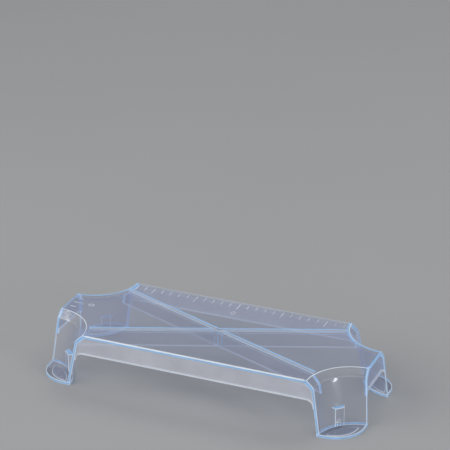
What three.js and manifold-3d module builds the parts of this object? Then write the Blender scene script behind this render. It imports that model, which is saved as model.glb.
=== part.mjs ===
// Clear four-legged nesting rack. Millimetres, +Z up, standing on z = 0 with its centre over the origin.
// +X runs along the deck to the right, +Y runs to the edge that carries the long centre-zero scale.
//
// The rack is a flat deck with a round bite out of each corner. A leg, which is a wall bent to a quarter
// of a round trough, drops from each bite and leans outward, so that one rack nests on another. Aprons
// hang from the four deck edges between the legs, two diagonal ribs stiffen the deck from below, and each
// leg ends on a flat foot with a stop block on it that the next rack's foot comes to rest on.

import * as THREE from 'three';
import { ConvexGeometry } from 'three/addons/geometries/ConvexGeometry.js';
import { mergeVertices } from 'three/addons/utils/BufferGeometryUtils.js';
import Module from 'manifold-3d';

const wasm = await Module();
wasm.setup();

// Overall sizes
const DECK_LENGTH = 348;
const DECK_WIDTH = 138;
const RACK_HEIGHT = 59;
const SIDE_DRAFT = THREE.MathUtils.degToRad(5); // every side face leans out by this, downward

// Thicknesses
const DECK_THICKNESS = 3;
const WALL = 3;
const FOOT_THICKNESS = 3;
const RIB_THICKNESS_AT_DECK = 3.4;
const RIB_THICKNESS_AT_EDGE = 2.4;
const JOINT_GAP = 0.3; // left between a piece and the curved neighbour that it is cut to

// Corners and legs
const NOTCH_RADIUS = 50; // the round bite, at the deck's top face
const LEG_RADIUS = 42; // inside radius of the trough below the flare
const FLARE_DEPTH = 7; // height over which the bite narrows to the trough
const AXIS_BEYOND_CORNER = 1; // the trough's axis stands this far outside the deck corner, each way
const LEG_LEAN_X = 8.5; // outward travel of the axis from the flare to the foot
const LEG_LEAN_Y = 6.5;
const ARC_SEGMENTS = 72; // facets in a full circle

// Aprons and ribs, each depth measured from the deck's top face
const LONG_APRON_DEPTH = 21.5;
const END_APRON_DEPTH = 23.5;
const LONG_APRON_FILLET = 8;
const END_APRON_FILLET = 3;
const WEB_TOE = 0.8; // thickness left where an apron's round corner runs out on the leg
const RIB_DEPTH = 20;
const RIB_MEETS_NOTCH_AT = THREE.MathUtils.degToRad(22); // round the trough's axis, from the X direction

// Feet and the stop blocks that stand on them
const FOOT_CORNER_RADIUS = 32;
const LEAST_STRAIGHT = 0.2; // straight side left beside a foot's round corner, at the least
const SOLE_RIM = 7; // width of the rim that a foot stands on
const SOLE_RECESS = 0.8;
const STOP_HEIGHT = 20;
const STOP_PROUD = 5.8; // how far the stop's top stands out from the leg
const STOP_WIDTH_AT_LEG = 15;
const STOP_WIDTH_AT_FRONT = 10;

// Graduations engraved in the deck
const MARK_PITCH = 10;
const LONG_MARK_EVERY = 5;
const MARK_LINE = 0.9;
const MARK_DEPTH = 0.4;
const MARK_EDGE_MARGIN = 6;
const MARK_CORNER_MARGIN = 4; // least distance from the last mark to the notch, along the edge
const LONG_SCALE = { shortMark: 8, longMark: 13, zeroFromEdge: 27 };
const END_SCALE = { shortMark: 6.5, longMark: 12, zeroFromEdge: 26.5, marksEachSide: 1 };
const ZERO_HEIGHT = 7.5;
const ZERO_WIDTH = 5;

// Levels and places worked out from the sizes above
const DECK_TOP = RACK_HEIGHT;
const DECK_UNDERSIDE = DECK_TOP - DECK_THICKNESS;
const FLARE_BOTTOM = DECK_TOP - FLARE_DEPTH;
const FOOT_TOP = FOOT_THICKNESS;
const HALF_LENGTH = DECK_LENGTH / 2;
const HALF_WIDTH = DECK_WIDTH / 2;
const AXIS_X = HALF_LENGTH + AXIS_BEYOND_CORNER;
const AXIS_Y = HALF_WIDTH + AXIS_BEYOND_CORNER;
const DRAFT_SLOPE = Math.tan(SIDE_DRAFT);
const OVERCUT = 1; // how far a cutter runs past the face that it cuts

const CORNERS = [
  { name: 'front_left', sideX: -1, sideY: -1 },
  { name: 'front_right', sideX: 1, sideY: -1 },
  { name: 'rear_left', sideX: -1, sideY: 1 },
  { name: 'rear_right', sideX: 1, sideY: 1 },
];

const clearPlastic = { color: 0xc4d3ea, roughness: 0.06, metalness: 0, transparent: true, opacity: 0.4 };

const rack = new THREE.Group();
rack.name = 'nesting_rack';

/** A closed geometry as a solid for joining and cutting. */
function toSolid(geometry) {
  const bare = geometry.clone();
  bare.deleteAttribute('normal');
  bare.deleteAttribute('uv');
  const merged = mergeVertices(bare, 1e-4);
  const mesh = new wasm.Mesh({
    numProp: 3,
    vertProperties: new Float32Array(merged.attributes.position.array),
    triVerts: new Uint32Array(merged.index.array),
  });
  return new wasm.Manifold(mesh);
}

/** A solid back as a geometry that a mesh can carry. */
function toGeometry(solid) {
  const mesh = solid.getMesh();
  const geometry = new THREE.BufferGeometry();
  geometry.setAttribute('position', new THREE.BufferAttribute(mesh.vertProperties, 3));
  geometry.setIndex(new THREE.BufferAttribute(mesh.triVerts, 1));
  geometry.computeVertexNormals();
  return geometry;
}

/** Adds one named piece to the rack. */
function addPiece(name, solid) {
  const mesh = new THREE.Mesh(toGeometry(solid), new THREE.MeshStandardMaterial(clearPlastic));
  mesh.name = name;
  rack.add(mesh);
}

/** A flat outline raised from one level to another. */
function raise(shape, bottom, top) {
  const geometry = new THREE.ExtrudeGeometry(shape, {
    depth: top - bottom,
    bevelEnabled: false,
    curveSegments: ARC_SEGMENTS / 4,
  });
  geometry.translate(0, 0, bottom);
  return geometry;
}

/** Outward travel of a leg's axis at a height: none down to the flare's bottom, all of it at the foot. */
function leanAt(height) {
  return Math.max(0, FLARE_BOTTOM - height) / (FLARE_BOTTOM - FOOT_TOP);
}

/** Where a leg's axis stands at a height, measured outward from the rack's centre along X and Y. */
function axisAt(height) {
  return {
    x: AXIS_X + LEG_LEAN_X * leanAt(height),
    y: AXIS_Y + LEG_LEAN_Y * leanAt(height),
  };
}

/** How far the drafted sides stand out beyond the deck's edges at a height. */
function draftAt(height) {
  return DRAFT_SLOPE * (DECK_TOP - height);
}

/** A profile of [radius, height] points spun about a corner's axis and leaned with the leg. */
function spinAboutLeg(corner, profile) {
  const points = profile.map(([radius, height]) => new THREE.Vector2(radius, height));
  const geometry = new THREE.LatheGeometry(points, ARC_SEGMENTS);
  geometry.rotateX(Math.PI / 2);
  const position = geometry.attributes.position;
  for (let i = 0; i < position.count; i += 1) {
    const axis = axisAt(position.getZ(i));
    position.setX(i, position.getX(i) + corner.sideX * axis.x);
    position.setY(i, position.getY(i) + corner.sideY * axis.y);
  }
  return toSolid(geometry);
}

/** Everything inside the rack's four drafted sides. */
function sideEnvelope() {
  const corners = [];
  for (const height of [0, DECK_TOP]) {
    for (const { sideX, sideY } of CORNERS) {
      const x = sideX * (HALF_LENGTH + draftAt(height));
      const y = sideY * (HALF_WIDTH + draftAt(height));
      corners.push(new THREE.Vector3(x, y, height));
    }
  }
  return toSolid(new ConvexGeometry(corners));
}

/** All the room that a leg takes, from its axis out to its inboard face, and a margin beyond that. */
function legRoom(corner, margin) {
  return spinAboutLeg(corner, [
    [0, -OVERCUT],
    [LEG_RADIUS + WALL + margin, -OVERCUT],
    [LEG_RADIUS + WALL + margin, FOOT_TOP],
    [LEG_RADIUS + WALL + margin, FLARE_BOTTOM - DECK_THICKNESS],
    [NOTCH_RADIUS + WALL + margin, DECK_UNDERSIDE],
    [NOTCH_RADIUS + WALL + margin, DECK_TOP + OVERCUT],
    [0, DECK_TOP + OVERCUT],
  ]);
}

/** The open inside of a trough below its flare, made smaller by a margin. */
function troughRoom(corner, margin) {
  return spinAboutLeg(corner, [
    [0, -OVERCUT],
    [LEG_RADIUS - margin, -OVERCUT],
    [LEG_RADIUS - margin, FOOT_TOP],
    [LEG_RADIUS - margin, FLARE_BOTTOM],
    [0, FLARE_BOTTOM],
  ]);
}

/** Straight bar lying in the deck's top face, for engraving one mark. */
function markCutter(x, y, lengthX, lengthY) {
  const bar = new THREE.BoxGeometry(lengthX, lengthY, 2 * MARK_DEPTH);
  bar.translate(x, y, DECK_TOP);
  return toSolid(bar);
}

/** Oval ring lying in the deck's top face, for engraving a zero of the given half sizes. */
function zeroCutter(x, y, halfX, halfY) {
  const ring = new THREE.Shape();
  ring.absellipse(x, y, halfX, halfY, 0, 2 * Math.PI);
  const hole = new THREE.Path();
  hole.absellipse(x, y, halfX - MARK_LINE, halfY - MARK_LINE, 0, 2 * Math.PI);
  ring.holes.push(hole);
  return toSolid(raise(ring, DECK_TOP - MARK_DEPTH, DECK_TOP + MARK_DEPTH));
}

/** Length of a mark, counted from the zero mark. */
function markLength(index, scale) {
  return index % LONG_MARK_EVERY === 0 ? scale.longMark : scale.shortMark;
}

/** Marks and zero along the rear long edge, as many each side as the straight edge holds. */
function longScaleCutters() {
  const straightHalf = AXIS_X - Math.sqrt(NOTCH_RADIUS ** 2 - AXIS_BEYOND_CORNER ** 2);
  const eachSide = Math.floor((straightHalf - MARK_CORNER_MARGIN) / MARK_PITCH);
  const edge = HALF_WIDTH - MARK_EDGE_MARGIN;
  const cutters = [];
  for (let index = -eachSide; index <= eachSide; index += 1) {
    const length = markLength(index, LONG_SCALE);
    cutters.push(markCutter(index * MARK_PITCH, edge - length / 2, MARK_LINE, length));
  }
  const zeroY = HALF_WIDTH - LONG_SCALE.zeroFromEdge;
  cutters.push(zeroCutter(0, zeroY, ZERO_WIDTH / 2, ZERO_HEIGHT / 2));
  return cutters;
}

/** Marks and zero along the left end edge. */
function endScaleCutters() {
  const edge = -HALF_LENGTH + MARK_EDGE_MARGIN;
  const cutters = [];
  for (let index = -END_SCALE.marksEachSide; index <= END_SCALE.marksEachSide; index += 1) {
    const length = markLength(index, END_SCALE);
    cutters.push(markCutter(edge + length / 2, index * MARK_PITCH, length, MARK_LINE));
  }
  const zeroX = -HALF_LENGTH + END_SCALE.zeroFromEdge;
  cutters.push(zeroCutter(zeroX, 0, ZERO_HEIGHT / 2, ZERO_WIDTH / 2));
  return cutters;
}

/** The flat deck, bitten at each corner, drafted at its rim and engraved. */
function deckPlate() {
  const blank = new THREE.BoxGeometry(DECK_LENGTH + 2 * WALL, DECK_WIDTH + 2 * WALL, DECK_THICKNESS);
  blank.translate(0, 0, DECK_UNDERSIDE + DECK_THICKNESS / 2);
  let plate = toSolid(blank).intersect(envelope);
  for (const corner of CORNERS) {
    plate = plate.subtract(legRoom(corner, JOINT_GAP));
  }
  for (const cutter of [...longScaleCutters(), ...endScaleCutters()]) {
    plate = plate.subtract(cutter);
  }
  return plate;
}

/**
 * Where a leg's inboard face crosses the middle of an apron, from how far along the apron the leg's axis
 * stands and how far beside the apron's middle it stands.
 */
function legFace(axisAlong, axisBeside) {
  return axisAlong - Math.sqrt((LEG_RADIUS + WALL) ** 2 - axisBeside ** 2);
}

/**
 * Side view of an apron, with the width across the page and the height up it. Its lower edge runs level
 * and turns down into each leg with a round corner; the ends run on to be cut to the legs' shape.
 */
function apronOutline(depth, fillet, legFaceAt, reach) {
  const lowerEdge = DECK_TOP - depth;
  const webFoot = lowerEdge - fillet;
  const arcCentre = legFaceAt(webFoot) - JOINT_GAP - WEB_TOE - fillet;
  const outline = new THREE.Shape();
  outline.moveTo(-reach, DECK_UNDERSIDE);
  outline.lineTo(-reach, webFoot);
  outline.absarc(-arcCentre, webFoot, fillet, Math.PI, Math.PI / 2, true);
  outline.absarc(arcCentre, webFoot, fillet, Math.PI / 2, 0, true);
  outline.lineTo(reach, webFoot);
  outline.lineTo(reach, DECK_UNDERSIDE);
  outline.closePath();
  return outline;
}

/** Stands an apron's side view up on the X axis, gives it the wall's thickness and drafts it outward. */
function apronSlab(outline, deckEdge) {
  const slab = raise(outline, 0, WALL);
  slab.rotateX(Math.PI / 2);
  slab.translate(0, -deckEdge + WALL, 0);
  const position = slab.attributes.position;
  for (let i = 0; i < position.count; i += 1) {
    position.setY(i, position.getY(i) - draftAt(position.getZ(i)));
  }
  return slab;
}

/** Cuts a slab back to clear every leg. */
function cutToLegs(solid) {
  return CORNERS.reduce((rest, corner) => rest.subtract(legRoom(corner, JOINT_GAP)), solid);
}

/** Apron under a long edge: the front one as it is built, the rear one turned half round. */
function longApron(turn) {
  const legFaceAt = (height) => {
    const apronMiddle = HALF_WIDTH + draftAt(height) - WALL / 2;
    return legFace(axisAt(height).x, axisAt(height).y - apronMiddle);
  };
  const outline = apronOutline(LONG_APRON_DEPTH, LONG_APRON_FILLET, legFaceAt, HALF_LENGTH);
  const slab = apronSlab(outline, HALF_WIDTH);
  slab.rotateZ(turn);
  return cutToLegs(toSolid(slab));
}

/** Apron under an end edge, built along X and turned a quarter onto its end. */
function endApron(turn) {
  const legFaceAt = (height) => {
    const apronMiddle = HALF_LENGTH + draftAt(height) - WALL / 2;
    return legFace(axisAt(height).y, axisAt(height).x - apronMiddle);
  };
  const outline = apronOutline(END_APRON_DEPTH, END_APRON_FILLET, legFaceAt, HALF_WIDTH);
  const slab = apronSlab(outline, HALF_LENGTH);
  slab.rotateZ(turn);
  return cutToLegs(toSolid(slab));
}

/** Cross-section of a rib, thicker at the deck, widened all round by a margin. */
function ribSection(margin) {
  const atDeck = RIB_THICKNESS_AT_DECK / 2 + margin;
  const atEdge = RIB_THICKNESS_AT_EDGE / 2 + margin;
  const section = new THREE.Shape();
  section.moveTo(-atDeck, DECK_UNDERSIDE);
  section.lineTo(-atEdge, DECK_TOP - RIB_DEPTH - margin);
  section.lineTo(atEdge, DECK_TOP - RIB_DEPTH - margin);
  section.lineTo(atDeck, DECK_UNDERSIDE);
  section.closePath();
  return section;
}

/** A straight rib under the deck from one distance to another along a direction from the centre. */
function ribBar(direction, from, to, margin = 0) {
  const bar = raise(ribSection(margin), from, to);
  bar.rotateX(Math.PI / 2);
  bar.rotateZ(Math.PI / 2 + direction);
  return toSolid(bar);
}

/** The leg: the wall from the flared rim down to the foot, trimmed by the drafted sides. */
function leg(corner) {
  const wall = spinAboutLeg(corner, [
    [LEG_RADIUS, FOOT_TOP],
    [LEG_RADIUS + WALL, FOOT_TOP],
    [LEG_RADIUS + WALL, FLARE_BOTTOM - DECK_THICKNESS],
    [NOTCH_RADIUS + WALL, DECK_UNDERSIDE],
    [NOTCH_RADIUS + WALL, DECK_TOP],
    [NOTCH_RADIUS, DECK_TOP],
    [LEG_RADIUS, FLARE_BOTTOM],
    [LEG_RADIUS, FOOT_TOP],
  ]);
  return wall.intersect(envelope);
}

/**
 * Plan of a foot: two straight sides along the drafted faces, a round outer corner between them and a
 * hollow inner side that follows the leg. The inset draws the same plan smaller all round.
 */
function footOutline(corner, inset) {
  const axis = axisAt(FOOT_TOP);
  const sideX = HALF_LENGTH + draftAt(0) - inset;
  const sideY = HALF_WIDTH + draftAt(0) - inset;
  const innerRadius = LEG_RADIUS + WALL - inset;
  const startAngle = Math.PI + Math.asin((axis.y - sideY) / innerRadius);
  const endAngle = 1.5 * Math.PI - Math.asin((axis.x - sideX) / innerRadius);
  const sideAlongX = sideX - axis.x - innerRadius * Math.cos(startAngle);
  const sideAlongY = sideY - axis.y - innerRadius * Math.sin(endAngle);
  const roomForCorner = Math.min(sideAlongX, sideAlongY) - LEAST_STRAIGHT;
  const outerRadius = Math.min(FOOT_CORNER_RADIUS - inset, roomForCorner);
  const outline = new THREE.Shape();
  outline.absarc(axis.x, axis.y, innerRadius, startAngle, endAngle, false);
  outline.absarc(sideX - outerRadius, sideY - outerRadius, outerRadius, 0, Math.PI / 2, false);
  outline.closePath();
  const points = outline.extractPoints(ARC_SEGMENTS / 4).shape;
  const mirrored = points.map((point) => new THREE.Vector2(corner.sideX * point.x, corner.sideY * point.y));
  return new THREE.Shape(mirrored);
}

/** The foot that closes the trough, hollowed a little underneath so that it stands on its rim. */
function foot(corner) {
  const sole = toSolid(raise(footOutline(corner, 0), 0, FOOT_TOP));
  const recess = toSolid(raise(footOutline(corner, SOLE_RIM), -OVERCUT, SOLE_RECESS));
  return sole.intersect(envelope).subtract(recess);
}

/** Upright block on the foot, facing the corner, its back cut to the leaning leg. */
function nestingStop(corner) {
  const top = FOOT_TOP + STOP_HEIGHT;
  const axis = axisAt(top);
  const outward = new THREE.Vector2(-1, -1).normalize();
  const along = new THREE.Vector2(-outward.y, outward.x);
  const plan = [
    [LEG_RADIUS - STOP_PROUD, STOP_WIDTH_AT_FRONT / 2],
    [LEG_RADIUS, STOP_WIDTH_AT_LEG / 2],
    [LEG_RADIUS + WALL, STOP_WIDTH_AT_LEG / 2],
    [LEG_RADIUS + WALL, -STOP_WIDTH_AT_LEG / 2],
    [LEG_RADIUS, -STOP_WIDTH_AT_LEG / 2],
    [LEG_RADIUS - STOP_PROUD, -STOP_WIDTH_AT_FRONT / 2],
  ];
  const points = plan.map(([distance, offset]) => {
    const x = axis.x + outward.x * distance + along.x * offset;
    const y = axis.y + outward.y * distance + along.y * offset;
    return new THREE.Vector2(corner.sideX * x, corner.sideY * y);
  });
  const block = toSolid(raise(new THREE.Shape(points), FOOT_TOP, top));
  return block.intersect(troughRoom(corner, JOINT_GAP));
}

const envelope = sideEnvelope();

addPiece('deck_plate', deckPlate());
addPiece('front_apron', longApron(0));
addPiece('rear_apron', longApron(Math.PI));
addPiece('left_end_apron', endApron(-Math.PI / 2));
addPiece('right_end_apron', endApron(Math.PI / 2));

// The ribs aim at the rim of each bite. One runs through; the other is in two halves that butt on it.
const ribAimX = AXIS_X - NOTCH_RADIUS * Math.cos(RIB_MEETS_NOTCH_AT);
const ribAimY = AXIS_Y - NOTCH_RADIUS * Math.sin(RIB_MEETS_NOTCH_AT);
const ribAngle = Math.atan2(ribAimY, ribAimX);
const ribReach = Math.hypot(AXIS_X, AXIS_Y) - LEG_RADIUS / 2;
const crossingRoom = ribBar(ribAngle, -ribReach, ribReach, JOINT_GAP);
addPiece('diagonal_rib_through', cutToLegs(ribBar(ribAngle, -ribReach, ribReach)));
for (const [name, direction] of [['left_half', Math.PI - ribAngle], ['right_half', -ribAngle]]) {
  const half = ribBar(direction, 0, ribReach).subtract(crossingRoom);
  addPiece(`diagonal_rib_${name}`, cutToLegs(half));
}

for (const corner of CORNERS) {
  addPiece(`leg_${corner.name}`, leg(corner));
  addPiece(`foot_${corner.name}`, foot(corner));
  addPiece(`nesting_stop_${corner.name}`, nestingStop(corner));
}

export default rack;
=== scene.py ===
"""Clear nesting rack: the moulded pieces, their plastic, and the studio that they are shown in."""

import math

import bmesh
import bpy
import numpy as np
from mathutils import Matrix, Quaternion, Vector
from mathutils.geometry import delaunay_2d_cdt


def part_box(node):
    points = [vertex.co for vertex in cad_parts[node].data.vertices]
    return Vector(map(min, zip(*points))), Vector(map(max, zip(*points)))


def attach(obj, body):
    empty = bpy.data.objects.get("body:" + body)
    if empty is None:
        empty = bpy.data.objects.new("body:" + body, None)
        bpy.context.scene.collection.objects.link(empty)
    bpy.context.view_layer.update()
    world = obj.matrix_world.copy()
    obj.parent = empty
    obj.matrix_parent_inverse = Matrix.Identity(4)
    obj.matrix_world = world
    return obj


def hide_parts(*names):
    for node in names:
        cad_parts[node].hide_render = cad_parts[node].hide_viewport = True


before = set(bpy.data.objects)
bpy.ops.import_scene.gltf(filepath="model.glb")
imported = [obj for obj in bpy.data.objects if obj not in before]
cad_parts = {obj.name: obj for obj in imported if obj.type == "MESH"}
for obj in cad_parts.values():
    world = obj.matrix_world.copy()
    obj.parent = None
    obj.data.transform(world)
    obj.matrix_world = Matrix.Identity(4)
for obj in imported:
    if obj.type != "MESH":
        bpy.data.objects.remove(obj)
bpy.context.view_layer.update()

bl_info = {
    "name": "Clear Nesting Rack",
    "version": (1, 0, 0),
    "blender": (4, 5, 0),
    "location": "View3D > Sidebar > Rack",
    "description": "Builds a clear moulded nesting rack round its packed frame",
    "category": "Add Mesh",
}

BODY = "root"
CORNERS = [("front_left", -1, -1), ("front_right", 1, -1), ("rear_left", -1, 1), ("rear_right", 1, 1)]

# Levels of the frame's pieces
DECK_LOW, DECK_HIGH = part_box("deck_plate")
FOOT_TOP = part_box("foot_front_left")[1].z
STOP_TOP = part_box("nesting_stop_front_left")[1].z
RIB_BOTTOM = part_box("diagonal_rib_through")[0].z
LONG_WEB_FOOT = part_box("front_apron")[0].z
END_WEB_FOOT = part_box("left_end_apron")[0].z

# Material slots of every piece, in this order
CLEAR, PAINTED_SHEEN, PAINTED_GLOW, JOINT, PAINTED_HIGHLIGHT, FROST_AND_PAINTED_GLOW = range(6)

ARC_STEPS = 40  # faces along each quarter of a bite or trough
BEND_STEPS = 6  # faces round a softened bend or a fillet
EDGE_STEPS = 3  # faces round a small edge
MARK_STEPS = 8  # points round an engraved mark
ZERO_STEPS = 28  # points round an engraved zero
LEVEL_STEPS = 11  # bands along half of an apron, as far as its lower edge is level
STOP_STEPS = 4  # bands up a nesting stop
STOP_BACK_STEPS = 8  # faces across a nesting stop's back
FLOOR_SIDES = 96  # faces round the floor
SHARPEST_SMOOTH = math.cos(math.radians(30))  # faces that turn more than this meet in an edge
WELD = 1e-6  # points nearer than this are one
SAME_PLACE = 1e-7  # the same, for the points that cut the deck's top face

# Scales of the patterns in the plastic, and how high the slow waves of the melt's flow stand
CLOUD_SCALE = 24.0
DRIFT_SCALE = 45.0
POLISH_SCALE = 90.0
FACE_WAVES = (30.0, 0.00005)
EDGE_WAVES = (60.0, 0.00006)

HEAD_ON_MIRROR = 0.04  # share of light that a clear face mirrors, met head on
CLEAR_LAYERS = 48  # clear faces that a ray of light may pass

# Each lamp's name, which is its power's too, and its place, size and tone
LAMPS = [
    ("key", (-1.6, -1.6, 1.5), (2.4, 2.0), (1.0, 0.98, 0.95)),
    ("back", (0.5, 1.5, 2.4), (2.2, 1.4), (0.95, 0.98, 1.0)),
    ("fill", (1.9, -0.75, 0.45), (0.35, 0.9), (0.92, 0.96, 1.0)),
]


# ---------------------------------------------------------------- sizes and colours


def length(name, text, default):
    """A size, in metres."""
    return bpy.props.FloatProperty(
        name=name, description=text, default=default, min=0.0, precision=5, unit="LENGTH", subtype="DISTANCE"
    )


def angle(name, text, degrees):
    """An angle, given in degrees and held in radians."""
    return bpy.props.FloatProperty(
        name=name, description=text, default=math.radians(degrees), unit="ROTATION", subtype="ANGLE"
    )


def colour(name, text, default):
    """A linear colour."""
    return bpy.props.FloatVectorProperty(
        name=name, description=text, default=default, size=3, min=0.0, max=1.0, subtype="COLOR"
    )


def share(name, text, default):
    """A share from 0 to 1."""
    return bpy.props.FloatProperty(
        name=name, description=text, default=default, min=0.0, max=1.0, subtype="FACTOR"
    )


def whole_number(name, text, default):
    """A whole number."""
    return bpy.props.IntProperty(name=name, description=text, default=default)


def power(name, text, default):
    """A lamp's power, in watts."""
    return bpy.props.FloatProperty(name=name, description=text, default=default, min=0.0, unit="POWER")


class RackSizes(bpy.types.PropertyGroup):
    """Sizes that several of the moulded pieces share."""

    draft: angle("Side Draft", "Lean of every side face, outward as it goes down", 5)
    wall: length("Wall", "Thickness of legs and aprons", 0.003)
    notch_radius: length("Notch Radius", "Round bite at the deck's top face", 0.050)
    leg_radius: length("Leg Radius", "Inside radius of a leg's trough", 0.042)
    flare_depth: length("Flare Depth", "Height over which the bite narrows to the trough", 0.007)
    flare_round: length("Flare Rounding", "How far the bend under the flare is softened, each way", 0.0025)
    beyond_corner: length("Axis Beyond Corner", "How far a trough's axis is outside the deck corner", 0.001)
    lean_x: length("Leg Lean X", "Travel of a trough's axis along the rack, from flare to foot", 0.0085)
    lean_y: length("Leg Lean Y", "Travel of a trough's axis across the rack, from flare to foot", 0.0065)
    arris: length("Arris", "Width of the small round along every outer edge", 0.00045)


class MemberSizes(bpy.types.PropertyGroup):
    """Sizes of the aprons, ribs, feet and nesting stops."""

    long_fillet: length("Long Apron Fillet", "Round corner where a long apron runs into a leg", 0.008)
    end_fillet: length("End Apron Fillet", "Round corner where an end apron runs into a leg", 0.003)
    web_toe: length("Web Toe", "Thickness left where that round corner runs out", 0.0008)
    rib_at_deck: length("Rib at Deck", "Thickness of a rib where it meets the deck", 0.0034)
    rib_at_edge: length("Rib at Edge", "Thickness of a rib at its free edge", 0.0024)
    rib_root: length("Rib Root", "Small round where a rib meets the deck", 0.0006)
    # painted glow at each end of a rib
    rib_painted_glow: length("Rib Glow", "Length at each end of a rib where the light that it pipes shows", 0.0013)
    sink_front: length("Front Sink", "Width of the faint dip in the deck over a rib's front side", 0.0009)
    sink_rear: length("Rear Sink", "Width of the faint dip in the deck over a rib's rear side", 0.0022)
    sink_depth: length("Sink Depth", "Depth of those dips", 0.00006)
    rim_round: length("Rim Round", "Small round along the deck's top edge", 0.0011)
    rib_aim: angle("Rib Aim", "Place on a bite's rim that a rib points at, from the long direction", 22)
    foot_corner: length("Foot Corner", "Outer corner radius of a foot", 0.032)
    sole_rim: length("Sole Rim", "Width of the rim that a foot stands on", 0.007)
    sole_recess: length("Sole Recess", "Depth of the hollow inside that rim", 0.0008)
    stop_proud: length("Stop Proud", "How far a stop's top stands out of the trough", 0.0058)
    stop_at_leg: length("Stop Width at Leg", "Width of a stop where it meets the trough", 0.015)
    stop_at_front: length("Stop Width at Front", "Width of a stop's front face", 0.010)


class ScaleSizes(bpy.types.PropertyGroup):
    """Sizes of the graduations engraved in the deck."""

    pitch: length("Pitch", "Distance from one mark to the next", 0.010)
    long_every: whole_number("Long Every", "Every so many marks is a long one", 5)
    line: length("Line", "Width of an engraved line", 0.0009)
    depth: length("Depth", "Depth of an engraved line", 0.0004)
    edge_margin: length("Edge Margin", "From the deck's edge to the marks", 0.006)
    corner_margin: length("Corner Margin", "Least distance from the last mark to a bite", 0.004)
    short_mark: length("Short Mark", "Short mark on the long edge", 0.008)
    long_mark: length("Long Mark", "Long mark on the long edge", 0.013)
    zero_inset: length("Zero Inset", "From the long edge to the middle of its zero", 0.027)
    end_short_mark: length("Short End Mark", "Short mark on the end", 0.0065)
    end_long_mark: length("Long End Mark", "Long mark on the end", 0.012)
    end_zero_inset: length("End Zero Inset", "From the end to the middle of its zero", 0.0265)
    end_marks: whole_number("End Marks", "Marks each side of the end's middle", 1)
    zero_height: length("Zero Height", "Height of a zero", 0.0075)
    zero_width: length("Zero Width", "Width of a zero", 0.005)


class PlasticLook(bpy.types.PropertyGroup):
    """Colours and clearness of the plastic."""

    tint: colour("Tint", "Light that one face passes, met head on", (0.96, 0.965, 0.98))
    slanting: colour("Slanting Tint", "Light that one face passes, met at a slant", (0.46, 0.53, 0.77))
    haze: colour("Haze", "Colour of the faint milkiness in the plastic", (0.80, 0.84, 0.92))
    haze_share: share("Haze Share", "How milky one face is", 0.08)
    slanting_haze: share("Slanting Haze", "How much milkier it is along a wall", 0.45)
    # Painted sheen: a milkier, lighter copy of the same plastic, for the long aprons and for lines of painted
    # highlight
    painted_sheen_tone: colour("Silk", "Colour of the light that the aprons scatter", (0.92, 0.92, 0.95))
    painted_sheen_share: share("Silky Share", "How milky the faces of an apron are", 0.36)
    # Painted glow: the edge, arris and engraved-line materials send out this share of their colour as
    # emission
    painted_glow_share: share("Glow", "Share of an edge's colour that is light piped to it", 0.45)
    # Colour of the painted glow on cut edges and other marked faces: the plastic's blue, made to shine
    edge: colour("Cut Edge", "Colour that light piped through a wall has where it leaves", (0.34, 0.60, 0.95))
    edge_clear: share("Cut Edge Clearness", "How much shows through an edge", 0.20)
    # Painted highlight: colour of the glowing material given to the small rounds along edges
    arris: colour("Arris", "Colour of the small round along an edge", (0.86, 0.94, 1.0))
    arris_clear: share("Arris Clearness", "How much shows through that round", 0.12)
    # Engraved lines: their own frosted tone, with a painted glow from the glowing material
    frost: colour("Frost", "Colour of an engraved line", (0.86, 0.90, 0.97))
    frost_clear: share("Frost Clearness", "How much shows through an engraved line", 0.45)
    roughness: share("Roughness", "Roughness of the moulded faces", 0.12)


class StudioLook(bpy.types.PropertyGroup):
    """The floor, the lights and the camera."""

    floor: colour("Floor", "Colour of the plain floor", (0.34, 0.34, 0.345))
    key: power("Key", "Power of the broad light from the left", 46.0)
    back: power("Back", "Power of the light from behind", 22.0)
    fill: power("Fill", "Power of the light from the right", 14.0)
    sky: share("Sky", "Strength of the even light from all round", 0.45)
    lens: bpy.props.FloatProperty(name="Lens", description="Focal length", default=161.8, unit="CAMERA")
    azimuth: angle("Azimuth", "Where the camera stands round the rack, from the front to the right", 22.4)
    elevation: angle("Elevation", "How far the camera looks down", 24.1)
    roll: angle("Roll", "How far the camera is turned about its own line of sight", 0.3)
    eye: bpy.props.FloatVectorProperty(
        name="Eye", description="Where the camera stands", default=(0.7289, -1.7504, 1.0274), subtype="XYZ",
        unit="LENGTH",
    )


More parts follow.
